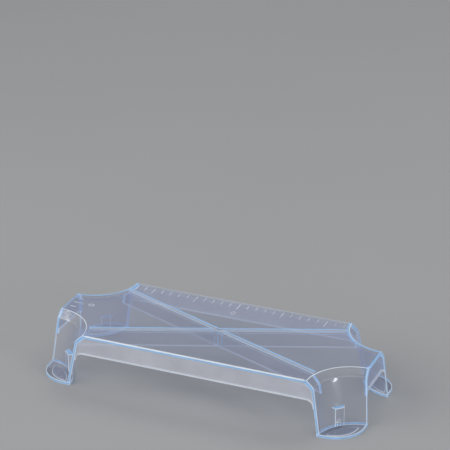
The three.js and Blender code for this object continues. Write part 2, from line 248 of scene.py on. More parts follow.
class Form:
    """Levels, places and profiles worked out from the sizes and the frame."""

    def __init__(self, scene):
        self.rack = scene.rack_sizes
        self.member = scene.rack_members
        self.slope = math.tan(self.rack.draft)
        self.top = DECK_HIGH.z
        self.under = DECK_LOW.z
        self.flare = self.top - self.rack.flare_depth
        thickness = self.top - self.under
        self.half = Vector((DECK_HIGH.x, DECK_HIGH.y)) - Vector((1, 1)) * self.slope * thickness
        self.axis_top = self.half + Vector((1, 1)) * self.rack.beyond_corner
        notch, trough, wall = self.rack.notch_radius, self.rack.leg_radius, self.rack.wall
        inside = [(trough, FOOT_TOP), (trough, self.flare), (notch, self.top)]
        outer = trough + wall
        outside = [(outer, FOOT_TOP), (outer, self.flare - thickness), (notch + wall, self.under)]
        self.inside = softened(inside, self.rack.flare_round)
        self.outside = softened(outside, self.rack.flare_round)

    def axis(self, height):
        """Trough axis at a height, outward along X and Y: upright down to the flare, then leaning evenly."""
        lean = np.clip((self.flare - height) / (self.flare - FOOT_TOP), 0.0, None)
        return self.axis_top.x + self.rack.lean_x * lean, self.axis_top.y + self.rack.lean_y * lean

    def side(self, height, inset=0.0):
        """Side faces at a height, outward along X and Y: the deck's edge and the draft below it."""
        out = self.slope * (self.top - height) - inset
        return self.half.x + out, self.half.y + out

    def leg_radius_at(self, height):
        """Radius of a leg's inboard face at a height, read off its profile."""
        return np.interp(height, self.outside[:, 1], self.outside[:, 0])

    def quarter(self, radius, height, turn, inset=0.0):
        """Points on a trough between the two side faces, evenly about its axis.

        turn goes from 0 at the long side to 1 at the end.
        """
        axis_x, axis_y = self.axis(height)
        start, end = sweep((axis_x, axis_y), self.side(height, inset), radius)
        turned = start + (end - start) * turn
        x = axis_x + radius * np.cos(turned)
        y = axis_y + radius * np.sin(turned)
        return np.stack(np.broadcast_arrays(x, y, height), axis=-1)


# ---------------------------------------------------------------- curves and shells


def sweep(axis, side, radius):
    """Angles at which a circle round a trough's axis meets the long side and the end.

    They are the angles whose sine or cosine carries the radius from the axis to that side face.
    """
    start = math.pi + np.arcsin((axis[1] - side[1]) / radius)
    end = 1.5 * math.pi - np.arcsin((axis[0] - side[0]) / radius)
    return start, end


def softened(corners, reach):
    """A bent line whose one bend is a parabola from a reach before the bend to a reach after it."""
    start, bend, end = (np.array(corner) for corner in corners)
    before = bend + (start - bend) * reach / np.linalg.norm(start - bend)
    after = bend + (end - bend) * reach / np.linalg.norm(end - bend)
    t = np.linspace(0, 1, BEND_STEPS + 1)[:, None]
    curve = (1 - t) ** 2 * before + 2 * t * (1 - t) * bend + t**2 * after
    return np.vstack([start, curve, end])


def turned_by(direction, ahead, across):
    """X and Y of points given by how far they lie ahead along a direction, and across it to its left."""
    x = ahead * math.cos(direction) - across * math.sin(direction)
    y = ahead * math.sin(direction) + across * math.cos(direction)
    return x, y


def at_height(plan, height):
    """A plan's points, (points, 2), all at one height."""
    return np.hstack([plan, np.full((len(plan), 1), height)])


def placed(points, side_x, side_y):
    """Points of the rear right quarter, mirrored to another corner."""
    return points * np.array([side_x, side_y, 1.0])


class Shell:
    """Collects the faces of one closed piece, each with its material slot."""

    def __init__(self):
        self.points = []
        self.faces = []
        self.slots = []

    def add_points(self, points):
        """Adds points and gives their numbers in the shape that they came in."""
        points = np.asarray(points, float)
        first = len(self.points)
        self.points.extend(points.reshape(-1, 3).tolist())
        return first + np.arange(points.size // 3).reshape(points.shape[:-1])

    def add_faces(self, faces, slots):
        """Adds faces, as rows of point numbers, with one slot for all or one for each."""
        faces = np.asarray(faces)
        self.faces.extend(faces.tolist())
        self.slots.extend(np.broadcast_to(slots, len(faces)).tolist())

    def add_stack(self, loops, slots):
        """Adds closed loops, (loops, points, 3), each joined to the next by a band of four-sided faces.

        slots is one slot, or one for each side of a loop, or one for each band and side. Gives the point
        numbers, so that ends can be closed.
        """
        index = self.add_points(loops)
        turned = np.roll(index, -1, axis=1)
        quads = np.stack([index[:-1], turned[:-1], turned[1:], index[1:]], axis=-1)
        bands, sides = quads.shape[:2]
        self.add_faces(quads.reshape(-1, 4), np.broadcast_to(slots, (bands, sides)).reshape(-1))
        return index

    def close_flat(self, index, slots):
        """Closes a stack's first and last loop with one flat face each."""
        self.add_faces([index[0][::-1]], slots[0])
        self.add_faces([index[-1]], slots[1])

    def close_ladder(self, index, slots):
        """Closes a stack's ends with rungs between a loop's two long sides, which mirror each other."""
        half = index.shape[1] // 2
        for ring, slot in zip((index[0][::-1], index[-1]), slots):
            there, back = ring[:half], ring[::-1][:half]
            self.add_faces(np.stack([there[:-1], there[1:], back[1:], back[:-1]], axis=-1), slot)

    def build(self, name, node, arris=0.0):
        """Makes the piece that stands for a CAD node: welded, facing outward, its outer edges rounded."""
        mesh = bpy.data.meshes.new(name)
        mesh.from_pydata(self.points, [], self.faces)
        mesh.polygons.foreach_set("material_index", self.slots)
        close(mesh)
        for material in plastic_materials():
            mesh.materials.append(material)
        mesh.shade_smooth()
        mark_edges(mesh)
        piece = bpy.data.objects.new(name, mesh)
        bpy.context.scene.collection.objects.link(piece)
        if arris:
            bevel = piece.modifiers.new("arris", "BEVEL")
            bevel.width = arris
            bevel.segments = 2
            bevel.limit_method = "WEIGHT"
            bevel.use_clamp_overlap = False
            bevel.harden_normals = True
            # every round that the bevel makes gets the painted highlight
            bevel.material = PAINTED_HIGHLIGHT
        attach(piece, BODY)
        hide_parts(node)


def close(mesh):
    """Joins points that lie on each other, so that the shell is closed, and turns its faces outward."""
    shell = bmesh.new()
    shell.from_mesh(mesh)
    bmesh.ops.remove_doubles(shell, verts=shell.verts, dist=WELD)
    open_edges = [edge for edge in shell.edges if len(edge.link_faces) != 2]
    if open_edges:
        raise RuntimeError(f"{mesh.name} has {len(open_edges)} edges that don't join two faces")
    if shell.calc_volume(signed=True) < 0:
        bmesh.ops.reverse_faces(shell, faces=shell.faces)
    shell.to_mesh(mesh)
    shell.free()


def mark_edges(mesh):
    """Marks the edges where faces meet sharply, and weights for rounding those that are open to the air."""
    loops, faces = len(mesh.loops), len(mesh.polygons)
    edge_of_loop = np.empty(loops, np.int32)
    sides = np.empty(faces, np.int32)
    slots = np.empty(faces, np.int32)
    normals = np.empty(faces * 3, np.float32)
    mesh.loops.foreach_get("edge_index", edge_of_loop)
    mesh.polygons.foreach_get("loop_total", sides)
    mesh.polygons.foreach_get("material_index", slots)
    mesh.polygons.foreach_get("normal", normals)
    normals = normals.reshape(-1, 3)
    face_of_loop = np.repeat(np.arange(faces), sides)
    pairs = face_of_loop[np.argsort(edge_of_loop, kind="stable")].reshape(-1, 2)
    sharp = np.einsum("ij,ij->i", normals[pairs[:, 0]], normals[pairs[:, 1]]) < SHARPEST_SMOOTH
    bonded = (slots[pairs] == JOINT).any(axis=1) | (slots[pairs] == FROST_AND_PAINTED_GLOW).any(axis=1)
    mesh.attributes.new("sharp_edge", "BOOLEAN", "EDGE").data.foreach_set("value", sharp)
    weights = (sharp & ~bonded).astype(np.float32)
    mesh.attributes.new("bevel_weight_edge", "FLOAT", "EDGE").data.foreach_set("value", weights)


# ---------------------------------------------------------------- plastic


def add_node(tree, kind, inputs=None, **settings):
    """Adds a shader node; an input is a value, or a socket to link."""
    node = tree.nodes.new(kind)
    for key, value in settings.items():
        setattr(node, key, value)
    for key, value in (inputs or {}).items():
        if isinstance(value, bpy.types.NodeSocket):
            tree.links.new(value, node.inputs[key])
        else:
            node.inputs[key].default_value = value
    return node


def maths(tree, operation, *values):
    """A Math node's result."""
    return add_node(tree, "ShaderNodeMath", dict(enumerate(values)), operation=operation).outputs[0]


def mixed(tree, factor, first, second):
    """A Mix Shader's result."""
    return add_node(tree, "ShaderNodeMixShader", {0: factor, 1: first, 2: second}).outputs[0]


def mixed_colour(tree, factor, first, second):
    """A colour Mix node's result; its two colours are inputs 6 and 7, and their mix is output 2."""
    inputs = {0: factor, 6: (*first, 1), 7: (*second, 1)}
    return add_node(tree, "ShaderNodeMix", inputs, data_type="RGBA").outputs[2]


def new_material(name):
    """The empty tree of a new material."""
    material = bpy.data.materials.new(name)
    material.use_nodes = True
    material.node_tree.nodes.clear()
    return material.node_tree


def surface_pattern(tree, scale, detail):
    """Soft noise on the piece's own coordinates."""
    coordinates = add_node(tree, "ShaderNodeTexCoord").outputs["Object"]
    inputs = {"Vector": coordinates, "Scale": scale, "Detail": detail}
    return add_node(tree, "ShaderNodeTexNoise", inputs).outputs["Fac"]


def mirror_share(tree):
    """The slant of a face, and how much it mirrors: a little head on, rising with the slant's fifth power."""
    slant = add_node(tree, "ShaderNodeLayerWeight", {"Blend": 0.5}).outputs["Facing"]
    steep = maths(tree, "POWER", slant, 5.0)
    return slant, maths(tree, "MULTIPLY_ADD", steep, 1 - HEAD_ON_MIRROR, HEAD_ON_MIRROR)


def glossy(tree, roughness, waves):
    """Gloss of a moulded face: slow waves, as scale and height, bend it, and fine ones vary its polish.

    The roughness goes from 0.7 to 1.3 of what it is given as.
    """
    wave_scale, wave_height = waves
    slow = surface_pattern(tree, wave_scale, 2.0)
    bump = add_node(tree, "ShaderNodeBump", {"Height": slow, "Distance": wave_height, "Strength": 1.0})
    fine = surface_pattern(tree, POLISH_SCALE, 2.0)
    polish = maths(tree, "MULTIPLY_ADD", fine, roughness * 0.6, roughness * 0.7)
    inputs = {"Color": (1, 1, 1, 1), "Roughness": polish, "Normal": bump.outputs[0]}
    return add_node(tree, "ShaderNodeBsdfGlossy", inputs).outputs[0]


def milky(tree, tone):
    """Light scattered back and through by the plastic, in equal parts."""
    back = add_node(tree, "ShaderNodeBsdfDiffuse", {"Color": (*tone, 1)}).outputs[0]
    through = add_node(tree, "ShaderNodeBsdfTranslucent", {"Color": (*tone, 1)}).outputs[0]
    return mixed(tree, 0.5, back, through)


def broad_plastic(name, look, haze, haze_share):
    """Broad faces, glossy: the tint deepens with the slant's square, the milkiness with its fourth power."""
    tree = new_material(name)
    slant, mirror = mirror_share(tree)
    tint = mixed_colour(tree, maths(tree, "POWER", slant, 2.0), look.tint, look.slanting)
    passed = add_node(tree, "ShaderNodeBsdfTransparent", {"Color": tint}).outputs[0]
    cloud = surface_pattern(tree, CLOUD_SCALE, 3.0)
    head_on = maths(tree, "MULTIPLY_ADD", cloud, haze_share, haze_share * 0.5)
    milkiness = maths(tree, "MULTIPLY_ADD", maths(tree, "POWER", slant, 4.0), look.slanting_haze, head_on)
    body = mixed(tree, milkiness, passed, milky(tree, haze))
    out = mixed(tree, mirror, body, glossy(tree, look.roughness, FACE_WAVES))
    add_node(tree, "ShaderNodeOutputMaterial", {"Surface": out})


def painted_glow_plastic(name, look, tone, clearness):
    """Narrow faces with a painted glow: an emission stands in for the light that a wall pipes, brighter and
    dimmer along their length.
    """
    tree = new_material(name)
    mirror = mirror_share(tree)[1]
    passed = add_node(tree, "ShaderNodeBsdfTransparent", {"Color": (*look.tint, 1)}).outputs[0]
    drift = surface_pattern(tree, DRIFT_SCALE, 2.0)
    solid = maths(tree, "SUBTRACT", 1.0 + clearness / 2, maths(tree, "MULTIPLY", drift, 3 * clearness))
    # Painted glow: an emission, though no lamp is here
    piped = add_node(tree, "ShaderNodeEmission", {"Color": (*tone, 1), "Strength": 1.0}).outputs[0]
    lit = mixed(tree, look.painted_glow_share, milky(tree, tone), piped)
    body = mixed(tree, maths(tree, "MINIMUM", solid, 1.0), passed, lit)
    out = mixed(tree, mirror, body, glossy(tree, look.roughness, EDGE_WAVES))
    add_node(tree, "ShaderNodeOutputMaterial", {"Surface": out})


def bonded_plastic():
    """Faces that are inside the moulding where two pieces run into each other: nothing shows there."""
    tree = new_material("bonded_joint")
    passed = add_node(tree, "ShaderNodeBsdfTransparent", {"Color": (1, 1, 1, 1)}).outputs[0]
    add_node(tree, "ShaderNodeOutputMaterial", {"Surface": passed})


def plastic_materials():
    """The six materials in the order of the slots, made once."""
    names = ["moulded_face", "apron_face", "cut_edge", "bonded_joint", "arris", "engraved_line"]
    if names[0] not in bpy.data.materials:
        look = bpy.context.scene.rack_plastic
        broad_plastic("moulded_face", look, look.haze, look.haze_share)
        # the same plastic made milkier: a painted sheen
        broad_plastic("apron_face", look, look.painted_sheen_tone, look.painted_sheen_share)
        painted_glow_plastic("cut_edge", look, look.edge, look.edge_clear)
        bonded_plastic()
        painted_glow_plastic("arris", look, look.arris, look.arris_clear)
        painted_glow_plastic("engraved_line", look, look.frost, look.frost_clear)
    return [bpy.data.materials[name] for name in names]


# ---------------------------------------------------------------- deck


def deck_outline(form, height, inset):
    """Deck outline at a height, anticlockwise from the right end: four bites joined by straight edges."""
    radius = form.rack.notch_radius + form.rack.wall
    arc = form.quarter(radius, np.full(ARC_STEPS + 1, height), np.linspace(0, 1, ARC_STEPS + 1), inset)
    return np.vstack([
        placed(arc[::-1], 1, 1),
        placed(arc, -1, 1),
        placed(arc[::-1], -1, -1),
        placed(arc, 1, -1),
    ])


def oval(middle, half_size, height):
    """An ellipse: cosine and sine of an even turn, scaled along X and Y."""
    turn = np.linspace(0, 2 * math.pi, ZERO_STEPS, endpoint=False)
    x = middle[0] + half_size[0] * np.cos(turn)
    y = middle[1] + half_size[1] * np.sin(turn)
    return at_height(np.stack([x, y], axis=-1), height)


def oblong(middle, half_size, height):
    """A line with round ends: a circle of half the line's width, pulled apart along the line."""
    radius = min(half_size)
    turn = (np.arange(MARK_STEPS) + 0.5) * 2 * math.pi / MARK_STEPS
    circle = np.stack([radius * np.cos(turn), radius * np.sin(turn)], axis=-1)
    stretched = circle + np.sign(circle) * (np.array(half_size) - radius)
    return at_height(stretched + np.array(middle), height)


def engrave_mark(shell, scale, top, middle, half_size):
    """A mark's walls and floor; gives its rim for the deck's top face to be cut by."""
    lean = scale.line / 5  # how far a wall leans in on its way down
    floor_half = (half_size[0] - lean, half_size[1] - lean)
    rim = oblong(middle, half_size, top)
    index = shell.add_stack([rim, oblong(middle, floor_half, top - scale.depth)], FROST_AND_PAINTED_GLOW)
    shell.add_faces([index[-1]], FROST_AND_PAINTED_GLOW)
    return [rim]


def engrave_zero(shell, scale, top, middle, half_size):
    """A zero's channel between two ovals; gives both rims."""
    channel = [(0.0, 0.0), (0.2, 1.0), (0.8, 1.0), (1.0, 0.0)]  # shares of the line's width and depth
    loops = []
    for across, down in channel:
        inset = across * scale.line
        half = (half_size[0] - inset, half_size[1] - inset)
        loops.append(oval(middle, half, top - down * scale.depth))
    shell.add_stack(loops, FROST_AND_PAINTED_GLOW)
    return [loops[0], loops[-1]]


def engrave_scales(shell, form, scale):
    """Every mark and zero of both scales, counted from the middle of its edge."""
    rims = []
    half_line = scale.line / 2
    straight = form.quarter(form.rack.notch_radius, form.top, 0.0)[0]
    marks_each_side = int((straight - scale.corner_margin) / scale.pitch)
    for count in range(-marks_each_side, marks_each_side + 1):
        half = (scale.long_mark if count % scale.long_every == 0 else scale.short_mark) / 2
        middle = (count * scale.pitch, form.half.y - scale.edge_margin - half)
        rims += engrave_mark(shell, scale, form.top, middle, (half_line, half))
    for count in range(-scale.end_marks, scale.end_marks + 1):
        half = (scale.end_long_mark if count % scale.long_every == 0 else scale.end_short_mark) / 2
        middle = (-form.half.x + scale.edge_margin + half, count * scale.pitch)
        rims += engrave_mark(shell, scale, form.top, middle, (half, half_line))
    tall, wide = scale.zero_height / 2, scale.zero_width / 2
    rims += engrave_zero(shell, scale, form.top, (0, form.half.y - scale.zero_inset), (wide, tall))
    rims += engrave_zero(shell, scale, form.top, (-form.half.x + scale.end_zero_inset, 0), (tall, wide))
    return rims


def dip_plan(form, edges):
    """Four corners of a dip in the deck over a rib, between two edges given by how far across it they lie.

    Two arms' sides meet in a corner, as far from the crossing as their offset over the tangent of half the
    angle between the arms. The dip runs from there to the bite that its arm points at.
    """
    direction = rib_direction(form)
    clear = form.member.sink_depth  # left between a dip and whatever is next to it
    bite = form.rack.notch_radius + form.rack.wall + clear
    axis_ahead, axis_beside = axis_along(form, direction, form.top)
    half_angle = np.where(edges < 0, direction, math.pi / 2 - direction)
    near = np.abs(edges) / np.tan(half_angle) + clear
    far = axis_ahead - np.sqrt(bite**2 - (axis_beside - edges) ** 2)
    ahead = np.array([near[0], far[0], far[1], near[1]])
    across = np.array([edges[0], edges[0], edges[1], edges[1]])
    return np.stack(turned_by(direction, ahead, across), axis=-1)


def sink_lines(shell, form):
    """The faint dips over the ribs: one along each side of every arm of the cross, and one between them."""
    member = form.member
    root = member.rib_at_deck / 2 + member.rib_root
    depth = member.sink_depth
    front_half, rear_half = member.sink_front / 2, member.sink_rear / 2
    middle_half = root - (front_half + rear_half) / 2 - depth
    rims = []
    for side_x, side_y in ((1, 1), (-1, 1), (-1, -1), (1, -1)):
        # the dips over a rib's two sides get the painted glow, the dip between them the painted sheen
        dips = [
            (-side_y * root, front_half, PAINTED_GLOW),
            (side_y * (front_half - rear_half) / 2, middle_half, PAINTED_SHEEN),
            (side_y * root, rear_half, PAINTED_GLOW),
        ]
        for beside, half, slot in dips:
            levels = []
            for half_width, down in ((half, 0.0), (half - depth, depth)):
                plan = dip_plan(form, np.array([beside - half_width, beside + half_width]))
                levels.append(placed(at_height(plan, form.top - down), side_x, side_y))
            index = shell.add_stack(levels, slot)
            shell.add_faces([index[-1]], slot)
            rims.append(levels[0])
    return rims


def top_face(shell, outline, rims):
    """Triangles between the deck's outline and the rims in it: those inside an odd number of the loops."""
    loops = [outline, *rims]
    starts = np.cumsum([0] + [len(loop) for loop in loops])
    points = np.vstack(loops)
    rings = [list(range(start, stop)) for start, stop in zip(starts[:-1], starts[1:])]
    flat = [Vector(point[:2]) for point in points]
    places, _, triangles, _, _, inside = delaunay_2d_cdt(flat, [], rings, 0, SAME_PLACE, True)
    index = shell.add_points(at_height(np.array(places), outline[0, 2]))
    kept = [triangle for triangle, loops_round in zip(triangles, inside) if len(loops_round) % 2]
    shell.add_faces(index[np.array(kept)][:, ::-1], CLEAR)


def make_deck(form, scale):
    """The deck: its rounded rim, the underside, and the engraved top."""
    shell = Shell()
    radius = form.member.rim_round
    turn = np.linspace(0, math.pi / 2, EDGE_STEPS + 1)
    levels = [(form.top - radius * (1 - math.cos(t)), radius * (1 - math.sin(t))) for t in turn]
    levels.append((form.under, 0.0))
    loops = [deck_outline(form, height, inset) for height, inset in levels]
    rim, rounding = (np.full(len(loops[0]), JOINT) for _ in range(2))
    straight = slice(ARC_STEPS, None, ARC_STEPS + 1)  # the rear edge, left end, front edge and right end
    # Painted light on the rim: the long edges' rounds get the painted highlight and the ends' rounds the
    # painted glow; the rear rim face gets the painted sheen and the other three the painted glow
    rim[straight] = [PAINTED_SHEEN, PAINTED_GLOW, PAINTED_GLOW, PAINTED_GLOW]
    rounding[straight] = [PAINTED_HIGHLIGHT, PAINTED_GLOW, PAINTED_HIGHLIGHT, PAINTED_GLOW]
    index = shell.add_stack(loops, [rounding] * EDGE_STEPS + [rim])
    shell.add_faces([index[-1]], CLEAR)
    top_face(shell, loops[0], engrave_scales(shell, form, scale) + sink_lines(shell, form))
    shell.build("moulded_deck", "deck_plate")


# ---------------------------------------------------------------- legs


def make_leg(form, name, side_x, side_y):
    """A leg: its wall section, from foot to flare and back, carried round the trough from side to side."""
    trough, wall = form.rack.leg_radius, form.rack.wall
    crown = [(form.rack.notch_radius + wall, form.top)]
    inside = np.insert(form.inside, 1, (trough, END_WEB_FOOT), axis=0)
    outside = np.insert(form.outside, 1, (trough + wall, END_WEB_FOOT), axis=0)
    section = np.vstack([inside, crown, outside[::-1]])
    radius, height = section.T
    turn = np.linspace(0, 1, ARC_STEPS + 1)[:, None]
    loops = placed(form.quarter(radius, height, turn), side_x, side_y)
    slots = np.full((ARC_STEPS, len(section)), CLEAR)
    slots[:, 2 + BEND_STEPS // 2] = PAINTED_SHEEN  # a painted highlight: a line of light in the bend under the flare
    beside_apron = np.minimum(height, np.roll(height, -1)) >= END_WEB_FOOT
    slots[-1, beside_apron] = PAINTED_GLOW  # painted glow: light of the end apron is caught beside it
    if side_y > 0:
        slots[:, len(inside) - 1] = PAINTED_GLOW  # painted glow, on the rear crowns only: light from behind is caught there
    slots[:, len(inside)] = JOINT  # where the deck runs into the crown
    slots[:, -1] = JOINT  # where the foot closes the trough
    shell = Shell()
    index = shell.add_stack(loops, slots)
    # the trough's cut ends get the painted glow
    shell.close_flat(index, (PAINTED_GLOW, PAINTED_GLOW))
    shell.build(f"moulded_leg_{name}", f"leg_{name}", form.rack.arris)


# ---------------------------------------------------------------- aprons


def apron_loops(form, depth, fillet, across):
    """Closed sections along an apron under the rear edge, or with across under the right-hand end.

    The outer face follows the side's draft and the inner one lies a wall inside it. Both reach to a chord of
    the leg's round face at every height, and a section stands at a share of that reach. The lower edge is
    level, then turns down in a quarter circle to a short toe on the leg.
    """
    along, out = (1, 0) if across else (0, 1)

    def leg_face(height, outward):
        """Where an apron's face, so far outward at a height, meets the leg."""
        axis = form.axis(height)
        return axis[along] - np.sqrt(form.leg_radius_at(height) ** 2 - (axis[out] - outward) ** 2)

    lower = form.top - depth
    web_foot = lower - fillet
    middle = form.side(web_foot)[out] - form.rack.wall / 2
    arc_centre = leg_face(web_foot, middle) - form.member.web_toe - fillet
    turn = np.linspace(0, math.pi / 2, 2 * BEND_STEPS + 1)
    level = np.linspace(0, arc_centre, LEVEL_STEPS + 1)[:-1]
    reach = np.concatenate([level, arc_centre + fillet * np.sin(turn)])
    bottom = np.concatenate([np.full(len(level), lower), web_foot + fillet * np.cos(turn)])
    shares = np.append(reach / leg_face(bottom, form.side(bottom)[out] - form.rack.wall / 2), 1.0)
    bottom = np.append(bottom, web_foot)
    shares = np.concatenate([-shares[:0:-1], shares])[:, None]
    bottom = np.concatenate([bottom[:0:-1], bottom])[:, None]

    bends = form.outside[:0:-1, 1]
    lowest_bend = bends[-1]
    turn = np.linspace(0, math.pi / 2, EDGE_STEPS + 1)
    heights = np.hstack([
        np.broadcast_to(bends, (len(bottom), len(bends))),
        lowest_bend + (bottom - lowest_bend) / 2,
        bottom + form.rack.arris * (1 - np.sin(turn)),
    ])
    eased = np.zeros(heights.shape[1])
    eased[-len(turn):] = form.rack.arris * (1 - np.cos(turn))
    outer = form.side(heights)[out]
    faces = []
    for outward in (outer - eased, outer - form.rack.wall + eased):
        ends = shares * leg_face(heights, outward)
        faces.append(np.stack([outward, ends, heights] if across else [ends, outward, heights], axis=-1))
    return np.concatenate([faces[0], faces[1][:, ::-1]], axis=1)


def make_apron(form, name, depth, fillet, side_x, side_y, across):
    """An apron as a stack of its sections, closed where it runs into the legs."""
    loops = placed(apron_loops(form, depth, fillet, across), side_x, side_y)
    bands, sides = len(loops) - 1, loops.shape[1]
    # the long aprons get the painted sheen, the end aprons the clear face
    slots = np.full((bands, sides), CLEAR if across else PAINTED_SHEEN)
    if across:
        slots[[0, -1]] = PAINTED_GLOW  # painted glow: light from a short apron is caught beside the legs
    lowest = sides // 2 - 1
    slots[:, lowest - EDGE_STEPS : lowest + EDGE_STEPS + 1] = PAINTED_HIGHLIGHT  # the lower edge, with a painted highlight
    slots[:, -1] = JOINT  # under the deck
    shell = Shell()
    index = shell.add_stack(loops, slots)
    shell.close_ladder(index, (JOINT, JOINT))
    shell.build(f"moulded_{name}", name)


# ---------------------------------------------------------------- ribs


def rib_direction(form):
    """Direction from the rack's middle to the place on a bite's rim that a rib points at."""
    notch, aim = form.rack.notch_radius, form.member.rib_aim
    return math.atan2(form.axis_top.y - notch * math.sin(aim), form.axis_top.x - notch * math.cos(aim))


def axis_along(form, direction, heights):
    """The rear right trough's axis, as how far it lies ahead along a direction and across it to its left."""
    return turned_by(-direction, *form.axis(heights))


def rib_section(form):
    """Heights and half thicknesses of a rib from the deck to its free edge, and how many are in its root."""
    member = form.member
    root_turn = np.linspace(0, math.pi / 2, EDGE_STEPS + 1)
    root_out = member.rib_root * (1 - np.sin(root_turn))
    root_down = member.rib_root * (1 - np.cos(root_turn))
    bends = form.outside[-2:1:-1, 1]
    heights = np.concatenate([form.under - root_down, bends, [RIB_BOTTOM]])
    taper = (form.under - heights) / (form.under - RIB_BOTTOM)
    halves = (member.rib_at_deck + (member.rib_at_edge - member.rib_at_deck) * taper) / 2
    halves[: len(root_out)] += root_out
    return heights, halves, len(root_out)


def rib_end(form, direction, heights, offsets):
    """How far along a direction from the centre a rib's face meets the leg: a chord of the leg's round."""
    ahead, beside = axis_along(form, direction, heights)
    return ahead - np.sqrt(form.leg_radius_at(heights) ** 2 - (beside - offsets) ** 2)


def make_ribs(form):
    """The crossed ribs: one through, and two halves that run into it.

    A half starts where its face meets the through rib's: that rib's half thickness less the face's own
    offset times the cosine of the angle between the ribs, all over that angle's sine.
    """
    direction = rib_direction(form)
    heights, halves, root = rib_section(form)
    down = np.concatenate([heights, heights[::-1]])
    offsets = np.concatenate([halves, -halves[::-1]])
    far = rib_end(form, direction, down, offsets)
    near_leg = -rib_end(form, direction, down, -offsets)
    between = 2 * direction
    crossing = (np.concatenate([halves, halves[::-1]]) - offsets * math.cos(between)) / math.sin(between)

    slots = np.full(len(down), CLEAR)
    # painted highlight on the root's rounds
    slots[: root - 1] = PAINTED_HIGHLIGHT
    slots[-root:-1] = PAINTED_HIGHLIGHT
    slots[len(heights) - 1] = PAINTED_SHEEN  # the free edge, with a painted sheen
    slots[-1] = JOINT  # under the deck
    # painted glow over the bands at each end of a rib
    painted_glow_slots = np.full(len(down), PAINTED_GLOW)
    painted_glow_slots[-1] = JOINT

    ribs = [
        ("diagonal_rib_through", near_leg, (1, 1), PAINTED_GLOW),
        ("diagonal_rib_right_half", crossing, (1, -1), JOINT),
        ("diagonal_rib_left_half", crossing, (-1, 1), JOINT),
    ]
    at_end = form.member.rib_painted_glow
    for name, start, (side_x, side_y), first_slot in ribs:
        loops = []
        for reach in (start, start + at_end, far - at_end, far):
            loops.append(np.stack([*turned_by(direction, reach, offsets), down], axis=-1))
        shell = Shell()
        index = shell.add_stack(placed(np.array(loops), side_x, side_y), [painted_glow_slots, slots, painted_glow_slots])
        shell.close_ladder(index, (first_slot, PAINTED_GLOW))
        shell.build(f"moulded_{name}", name, form.rack.arris)


# ---------------------------------------------------------------- feet and nesting stops


def foot_outline(form, height, inset):
    """Plan of a foot, smaller all round by an inset: an arc along the leg, then a round outer corner."""
    axis_x, axis_y = form.axis(FOOT_TOP)
    side_x, side_y = form.side(height, inset)
    inner = form.rack.leg_radius + form.rack.wall - inset
    turn = np.linspace(*sweep((axis_x, axis_y), (side_x, side_y), inner), ARC_STEPS + 1)
    hollow = np.stack([axis_x + inner * np.cos(turn), axis_y + inner * np.sin(turn)], axis=-1)
    corner = form.member.foot_corner - inset
    turn = np.linspace(0, math.pi / 2, ARC_STEPS + 1)
    x = side_x - corner + corner * np.cos(turn)
    y = side_y - corner + corner * np.sin(turn)
    return at_height(np.vstack([hollow, np.stack([x, y], axis=-1)]), height)


def make_foot(form, name, side_x, side_y):
    """A foot: its plate, standing on a rim round a shallow hollow."""
    rim, recess = form.member.sole_rim, form.member.sole_recess
    levels = [(recess, rim), (0.0, rim), (0.0, 0.0), (FOOT_TOP, 0.0)]
    loops = np.array([foot_outline(form, height, inset) for height, inset in levels])
    slots = np.array([[PAINTED_GLOW], [CLEAR], [PAINTED_GLOW]])  # painted glow on the hollow's wall and the foot's side; the rim between is clear
    shell = Shell()
    index = shell.add_stack(placed(loops, side_x, side_y), slots)
    shell.close_flat(index, (CLEAR, CLEAR))
    shell.build(f"moulded_foot_{name}", f"foot_{name}", form.rack.arris)


def stop_plan(form, height):
    """Plan of a nesting stop: an upright front, sides that open towards the leg, and a back on the trough.

    Lengths are measured from the trough's axis at the stop's top, along the line to the rack's middle and
    across it. The back is the trough's circle at this height, which the leg's lean has carried outward.
    """
    member, trough = form.member, form.rack.leg_radius
    axis_x, axis_y = form.axis(STOP_TOP)
    low_x, low_y = form.axis(height)
    inward = np.array([-1.0, -1.0]) / math.sqrt(2)
    across = np.array([-inward[1], inward[0]])
    shift = np.array([low_x - axis_x, low_y - axis_y])
    shift_in, shift_across = shift @ inward, shift @ across

    def back_at(offset):
        """How far inward the trough lies at an offset across the stop."""
        return shift_in + np.sqrt(trough**2 - (offset - shift_across) ** 2)

    front = trough - member.stop_proud
    half_front = member.stop_at_front / 2
    opening = (member.stop_at_leg - member.stop_at_front) / 2 / member.stop_proud
    sides = np.array([1, -1])
    offset = half_front * sides
    for _ in range(4):  # each round brings the corner closer to where the side meets the trough
        offset = sides * (half_front + opening * (back_at(offset) - front))
    back = np.linspace(offset[0], offset[1], STOP_BACK_STEPS + 1)
    distances = np.concatenate([back_at(back), [front, front]])
    offsets = np.concatenate([back, [-half_front, half_front]])
    plan = np.array([axis_x, axis_y]) + distances[:, None] * inward + offsets[:, None] * across
    return at_height(plan, height)


def make_stop(form, name, side_x, side_y):
    """A nesting stop: its plan carried up the leaning trough."""
    loops = [stop_plan(form, height) for height in np.linspace(FOOT_TOP, STOP_TOP, STOP_STEPS + 1)]
    loops = placed(np.array(loops), side_x, side_y)
    slots = np.full(loops.shape[1], PAINTED_SHEEN)  # the two sides, with a painted sheen
    slots[:-3] = JOINT  # the back
    slots[-2] = CLEAR  # the front
    shell = Shell()
    index = shell.add_stack(loops, slots)
    # the stop's top gets the painted glow
    shell.close_flat(index, (JOINT, PAINTED_GLOW))
    shell.build(f"moulded_nesting_stop_{name}", f"nesting_stop_{name}", form.rack.arris)


# ---------------------------------------------------------------- studio


